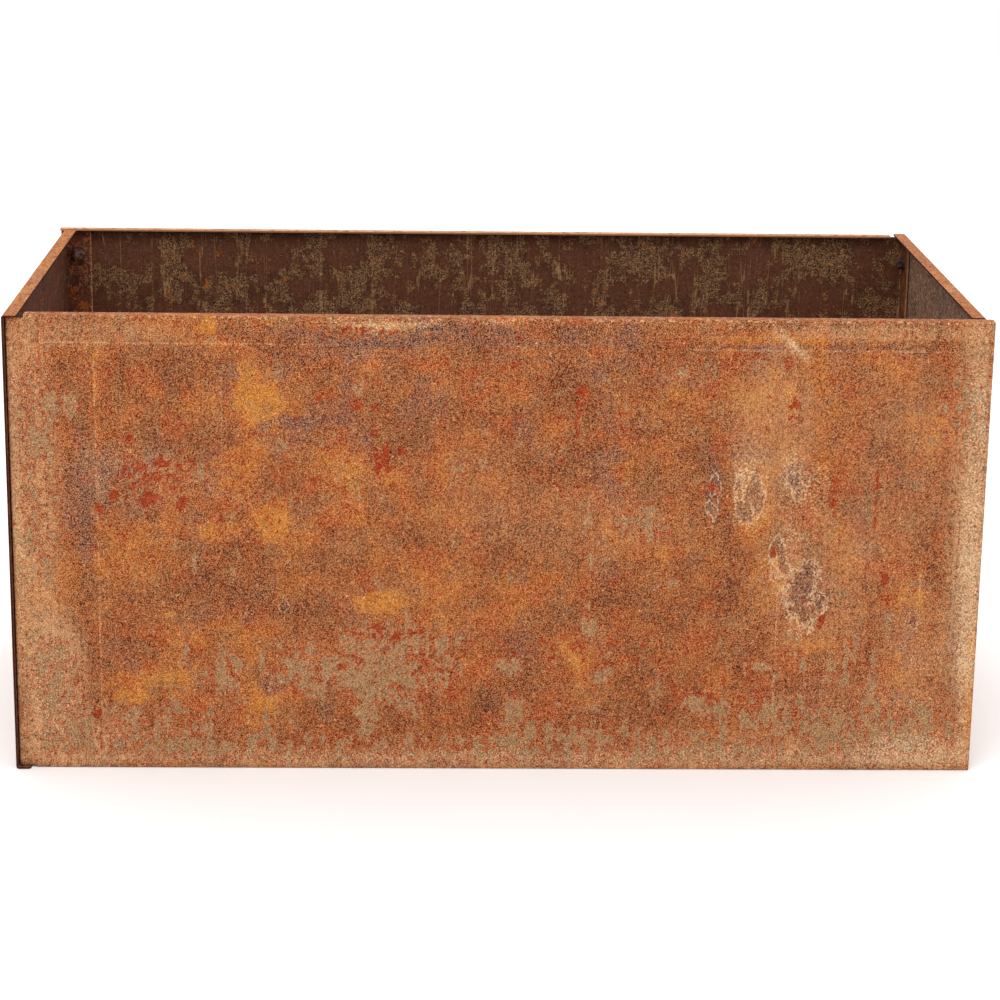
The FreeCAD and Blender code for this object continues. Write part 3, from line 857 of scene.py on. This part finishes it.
def foldedPanel(name, plan, spec):
    # in mm from the folded corner at the origin: the sheet runs along x and the flange along y
    low, high = (corner * 1000 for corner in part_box(plan["node"]))
    size = high - low
    odd = plan["turns"] % 2
    length, flange = (size.y, size.x) if odd else (size.x, size.y)
    origin = [(low.x, low.y), (high.x, low.y), (high.x, high.y), (low.x, high.y)][plan["turns"]]
    toRow = Matrix.Translation((*origin, 0)) @ Matrix.Rotation(math.radians(90 * plan["turns"]), 4, "Z")
    nutLow, nutHigh = (toRow.inverted() @ (corner * 1000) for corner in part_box(plan["corner"] + "_nuts"))
    boltLine = (nutLow.y + nutHigh.y) / 2
    nutLow, nutHigh = min(nutLow.z, nutHigh.z), max(nutLow.z, nutHigh.z)
    reach = spec["nutReach"]
    boltHeights = [round(nutLow + reach), round((nutLow + nutHigh) / 2), round(nutHigh - reach)]
    half, bend = spec["thick"] / 2, spec["bend"]
    turn = half + bend                      # outer radius of every bend
    height, lip, setback = size.z, spec["lip"], spec["setback"]

    # stations along the sheet: x, y and outward normal in plan, from the flange's free edge to the plain end
    along = [(half, y, -1.0, 0.0) for y in stations(flange, turn, spec["flangeCell"], boltLine)]
    along += bendArc(turn, bend, 180, 90, spec["bendSteps"])
    firstWeb = len(along)
    notch = [turn, *spec["notchSteps"], setback]
    lipEnd = [setback + d for d in (1.0, 2.0, spec["lipCorner"])]
    farEnd = [length - d for d in (spec["lipCorner"], 2.0, 1.0, 0.0)]
    middle = stations(lipEnd[-1], farEnd[0], plan["cell"], lipEnd[-1])[1:-1]
    along += [(x, half, 0.0, -1.0) for x in notch + lipEnd + middle + farEnd]
    firstLip = firstWeb + len(notch) - 1

    # stations up the sheet: how far in, z and outward normal, from the bottom lip's free edge upwards
    tip = [lip - d for d in (0.0, 1.0, 2.0, spec["lipCorner"], spec["lipMiddle"])]
    up = [(d, half, 0.0, -1.0) for d in tip + [turn]]
    up += bendArc(turn, bend, 270, -90, spec["bendSteps"])
    lowRow = len(up)
    up += [(half, z, -1.0, 0.0) for z in stations(turn, height - turn, spec["row"], boltHeights[0])]
    highRow = len(up) - 1
    up += [(d, height - z, c, -s) for d, z, c, s in up[:lowRow][::-1]]

    spots, normals, numbers = [], [], {}

    def vertexAt(i, j):
        if (i, j) in numbers:
            return numbers[i, j]
        x, y, nx, ny = along[i]
        d, z, nd, nz = up[j]
        if i >= firstWeb and not lowRow <= j <= highRow:
            y, nx, ny = d, 0.0, nd
            moveX, moveY = lipCornerAt(x, d, length, spec)
            x += moveX
            y += moveY
        else:
            nz = 0.0
        spots.append((x, y, z))
        normals.append((nx, ny, nz))
        numbers[i, j] = len(spots) - 1
        return numbers[i, j]

    holeColumn = nearest([y for _, y, _, _ in along[:firstWeb]], boltLine)
    holeRows = [lowRow + nearest([z for _, z, _, _ in up[lowRow:highRow]], h) for h in boltHeights]
    holed = set().union(*(holeCells(holeColumn, j) for j in holeRows))
    quads = []
    for i in range(len(along) - 1):
        rows = range(len(up) - 1) if i >= firstLip else range(lowRow, highRow)
        for j in rows:
            if (i, j) not in holed:
                quads.append((vertexAt(i, j), vertexAt(i, j + 1), vertexAt(i + 1, j + 1), vertexAt(i + 1, j)))
    for j in holeRows:
        outer = [vertexAt(holeColumn + a, j + b) for a, b in holeRing]
        centre = Vector((half, boltLine, up[j][1]))
        first = len(spots)
        for number in outer:
            way = (Vector(spots[number]) - centre).normalized()
            spots.append(tuple(centre + way * spec["hole"] / 2))
            normals.append((-1.0, 0.0, 0.0))
        inner = list(range(first, len(spots)))
        quads += bridge(inner, outer)

    spots, normals = np.array(spots), np.array(normals)
    across = spots[:, 0] - (length - (cadHigh.y if odd else cadHigh.x) * 1000)
    onFlat = (normals[:, 1] == -1) & (spots[:, 2] > turn) & (spots[:, 2] < height - turn)
    swayFlat(spots, onFlat, length, height, plan["seed"], spec)
    paint = panelPaint(name, plan, spec, spots, normals, across, length, flange)

    # the outer skin carries every stain, the inner one only the wear with its painted highlight and the fresh
    # rust
    outer = spots + normals * half
    inner = spots - normals * half
    outer[:, 1] -= spec["limeRise"] * paint["lime"] * onFlat
    inside = ("wearAndHighlight", "fresh")
    paint = {kind: np.concatenate([values, values * (kind in inside)]) for kind, values in paint.items()}
    finishes = (outside, insides[plan["inside"]], cutEdge)
    placing = Matrix.Translation((origin[0] * mm, origin[1] * mm, 0)) @ toRow.to_3x3().to_4x4()
    panel = addSheet(name, np.vstack([outer, inner]), quads, finishes, paint, spec["edgeRound"], placing)
    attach(panel, "root")
    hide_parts(plan["node"])
    print(name, "has", 2 * len(spots), "points;", "bolts at", round(boltLine, 1), boltHeights)
    return toRow, boltLine, boltHeights


corners = {}
for panelName, plan in panelPlans.items():
    corners[plan["corner"]] = foldedPanel(panelName, plan, foldedSheet)
print("panels folded")


# ---- studs, washers and nuts

boltSet = {
    "stud": 4.0,             # radius over the thread
    "core": 3.4,
    "pitch": 1.25,
    "tipChamfer": 0.8,
    "threadStart": 8.0,      # the thread is cut from here, behind the nut, to the tip
    "washer": 8.0,
    "washerHole": 4.2,
    "washerDish": 0.12,
    "nutFlats": 6.5,         # half across flats
    "nutFace": 6.1,
    "nutBore": 4.05,
    "nutLead": 0.45,         # chamfer at the mouths of the bore
    "nutCone": 30.0,         # degrees, the cut across the nut's corners
    "nutTurn": 40,           # degrees that one nut may be turned from the next
    "studSides": 36,
    "ringSides": 48,
}


def fastenerRust():
    finish, tree, shader, place = newFinish("fastenerRust")
    light, _ = crystals(tree, place, 0.7, shift=1.1)
    blotch = grain(tree, place, 5, 4.0, 0.65, shift=4.9)
    shine = grain(tree, place, 9, 3.0, 0.6, shift=8.8)
    darks = [(0.36, tone(34, 18, 13)), (0.5, tone(60, 34, 23))]
    lights = [(0.6, tone(96, 54, 28)), (0.7, tone(124, 78, 44))]
    colour = ramp(tree, blotch, darks + lights)
    zinc = rise(tree, plus(tree, shine, (light, 0.12)), 0.54, 0.64, 0.6)
    colour = lay(tree, colour, tone(160, 124, 98), zinc)
    colour = shade(tree, colour, light, 0.85, 1.15)
    rough = sloped(tree, zinc, -0.35, 0.78)
    put(tree, shader.inputs["Metallic"], times(tree, zinc, 0.3))
    finishOff(tree, shader, colour, rough, maths(tree, "ADD", blotch, light), 0.0001)
    return finish


fasteners = fastenerRust()


def studMesh(spec, start, stop):
    # rings of points along the stud; the thread winds one turn in every pitch
    sides = spec["studSides"]
    places = [start, spec["threadStart"]]
    step = spec["pitch"] / 6
    while places[-1] + 1.5 * step < stop:
        places.append(places[-1] + step)
    places.append(stop)
    points, faces = [], []
    for k, x in enumerate(places):
        for n in range(sides):
            wave = (x / spec["pitch"] - n / sides) % 1.0
            radius = spec["core"] + (spec["stud"] - spec["core"]) * min(1.0, 1.25 * abs(2 * wave - 1))
            if k < 2:
                radius = spec["stud"]
            radius = min(radius, spec["stud"] - spec["tipChamfer"] + stop - x)
            angle = 2 * math.pi * n / sides
            points.append((x, radius * math.cos(angle), radius * math.sin(angle)))
    for k in range(len(places) - 1):
        for n in range(sides):
            m = (n + 1) % sides
            faces.append((k * sides + n, k * sides + m, (k + 1) * sides + m, (k + 1) * sides + n))
    last = (len(places) - 1) * sides
    points += [(start, 0.0, 0.0), (stop, 0.0, 0.0)]
    for n in range(sides):
        m = (n + 1) % sides
        faces.append((len(points) - 2, m, n))
        faces.append((len(points) - 1, last + n, last + m))
    return points, faces


def ringMesh(profile, sides):
    # profile gives, for an angle, the closed outline as (distance along, radius)
    points, faces = [], []
    for n in range(sides):
        angle = 2 * math.pi * n / sides
        points += [(x, r * math.cos(angle), r * math.sin(angle)) for x, r in profile(angle)]
    count = len(points) // sides
    for n in range(sides):
        m = (n + 1) % sides
        for k in range(count):
            j = (k + 1) % count
            faces.append((n * count + k, n * count + j, m * count + j, m * count + k))
    return points, faces


def washerMesh(spec, start, stop):
    # slightly dished, with the rolled and the sharp rim that punching leaves
    inner, outer, dish = spec["washerHole"], spec["washer"], spec["washerDish"]
    outline = [(start + dish, inner), (stop - 0.12, inner), (stop, inner + 0.25),
               (stop - dish, outer - 0.45), (stop - dish - 0.3, outer), (start + 0.2, outer),
               (start, outer - 0.2), (start + dish, inner + 1.2)]
    return ringMesh(lambda angle: outline, spec["ringSides"])


def nutMesh(spec, start, stop):
    face, bore, lead = spec["nutFace"], spec["nutBore"], spec["nutLead"]

    def outline(angle):
        # the flats, cut back by a cone at both faces
        flat = spec["nutFlats"] / math.cos((angle + math.pi / 6) % (math.pi / 3) - math.pi / 6)
        cut = (flat - face) * math.tan(math.radians(spec["nutCone"]))
        return [(start + lead, bore), (stop - lead, bore), (stop, bore + lead), (stop, face),
                (stop - cut, flat), (start + cut, flat), (start, face), (start, bore + lead)]

    return ringMesh(outline, spec["ringSides"])


def boltUp(corner, toRow, boltLine, heights, spec, seed):
    pick = random.Random(seed)
    makers = {"studs": studMesh, "washers": washerMesh, "nuts": nutMesh}
    for kind, maker in makers.items():
        node = corner + "_" + kind
        start, stop = sorted((toRow.inverted() @ (point * 1000)).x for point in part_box(node))
        points, faces = [], []
        for height in heights:
            spin = Matrix.Rotation(math.radians(pick.uniform(0, spec["nutTurn"])), 4, "X")
            seat = toRow @ Matrix.Translation((0, boltLine, height)) @ spin
            ring, sides = maker(spec, start, stop)
            faces += [tuple(len(points) + k for k in side) for side in sides]
            points += [seat @ Vector(point) * mm for point in ring]
        end, side = corner.split("_")
        name = end + side.capitalize() + kind.capitalize()
        mesh = bpy.data.meshes.new(name)
        mesh.from_pydata(points, [], faces)
        mesh.materials.append(fasteners)
        piece = addToScene(name, mesh)
        mesh.shade_smooth()
        mesh.set_sharp_from_angle(angle=math.radians(28))
        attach(piece, "root")
        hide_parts(node)


for seed, (corner, (toRow, boltLine, heights)) in enumerate(corners.items(), start=5):
    boltUp(corner, toRow, boltLine, heights, boltSet, seed)
print("studs, washers and nuts on")


# ---- floor sheet

drainFloor = {
    "hole": 16.0,
    "columns": 5,
    "endDistance": 99.0,     # from the floor's ends to the middle of the first holes
    "rowSpacing": 260.0,
    "cell": 9.75,
    "rowCell": 10.0,
    "lipCover": 18.0,        # the margin that lies on the panels' lips
    "sag": 0.9,              # how far the sheet may rise between the holes
    "sagSize": 190.0,
    "calmEdge": 60.0,
    "dish": 22.0,            # a hole's surroundings stay low for about this far
    "dampReach": 30.0,
    "siltRing": 46.0,
    "siltWidth": 7.0,
    "edgeRound": 0.25,
}


def floorRust():
    finish, tree, shader, place = newFinish("floorRust")
    light, tint = crystals(tree, place, 1.8, shift=3.2)
    patchy = grain(tree, place, 60, 7.0, 0.68, shift=2.9)
    mud = grain(tree, place, 26, 6.0, 0.7, shift=7.1)
    damp = painted(tree, "damp")
    age = plus(tree, patchy, (tint, 0.05), (damp, 0.16, 0.0))
    darks = [(0.34, tone(62, 36, 26)), (0.46, tone(92, 54, 36))]
    lights = [(0.56, tone(126, 74, 44)), (0.7, tone(166, 92, 38))]
    colour = ramp(tree, age, darks + lights)
    silt = rise(tree, plus(tree, mud, (damp, -0.06, 0.0)), 0.52, 0.64, 0.7)
    colour = lay(tree, colour, tone(138, 118, 92), silt)
    colour = shade(tree, colour, light, 0.86, 1.14)
    rough = sloped(tree, silt, 0.15, 0.75)
    finishOff(tree, shader, colour, rough, maths(tree, "ADD", patchy, mud), 0.0008, gloss=0.25)
    return finish


def floorSheet(spec):
    low, high = (corner * 1000 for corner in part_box("floor_panel"))
    end = (high.x - low.x) / 2 - spec["endDistance"]
    columns = [end * (2 * k / (spec["columns"] - 1) - 1) for k in range(spec["columns"])]
    rows = [-spec["rowSpacing"] / 2, spec["rowSpacing"] / 2]
    xs = stations(low.x, high.x, spec["cell"], columns[0])
    ys = stations(low.y, high.y, spec["rowCell"], rows[0])
    radius = spec["hole"] / 2

    points, numbers, quads, damp = [], {}, [], []

    def addPoint(x, y):
        # dished and damp round a drain hole, with a ring of dried silt further out
        toHole = min(math.hypot(x - cx, y - cy) for cx in columns for cy in rows) - radius
        near = math.exp(-(toHole / spec["dish"]) ** 2)
        edge = min(x - low.x, high.x - x, y - low.y, high.y - y) - spec["lipCover"]
        calm = min(1.0, max(0.0, edge / spec["calmEdge"]))
        size = spec["sagSize"]
        lift = spec["sag"] * (noise.noise((x / size, y / size, 4.0)) + 0.5) * calm
        points.append((x, y, (low.z + high.z) / 2 + max(0.0, lift) * (1 - near)))
        wet = math.exp(-(max(0.0, toHole) / spec["dampReach"]) ** 2)
        silted = 0.5 * math.exp(-((toHole - spec["siltRing"]) / spec["siltWidth"]) ** 2)
        damp.append(wet + silted)
        return len(points) - 1

    def vertexAt(i, j):
        if (i, j) not in numbers:
            numbers[i, j] = addPoint(xs[i], ys[j])
        return numbers[i, j]

    holes = [(nearest(xs, cx), nearest(ys, cy)) for cx in columns for cy in rows]
    holed = set().union(*(holeCells(i, j) for i, j in holes))
    for i in range(len(xs) - 1):
        for j in range(len(ys) - 1):
            if (i, j) not in holed:
                quads.append((vertexAt(i, j), vertexAt(i + 1, j), vertexAt(i + 1, j + 1), vertexAt(i, j + 1)))
    for i, j in holes:
        outer = [vertexAt(i + a, j + b) for a, b in holeRing]
        cx, cy = xs[i], ys[j]
        ways = [Vector((points[n][0] - cx, points[n][1] - cy)).normalized() for n in outer]
        wider, hole = (
            [addPoint(cx + way.x * radius * reach, cy + way.y * radius * reach) for way in ways]
            for reach in (1.5, 1.0)
        )
        quads += bridge(outer, wider) + bridge(wider, hole)
    half = (high.z - low.z) / 2
    skins = [(x, y, z + side) for side in (half, -half) for x, y, z in points]
    finishes = (floorRust(), cutEdge)
    piece = addSheet("floorSheet", skins, quads, finishes, {"damp": damp + damp}, spec["edgeRound"])
    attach(piece, "root")
    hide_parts("floor_panel")


floorSheet(drainFloor)
print("floor sheet laid")
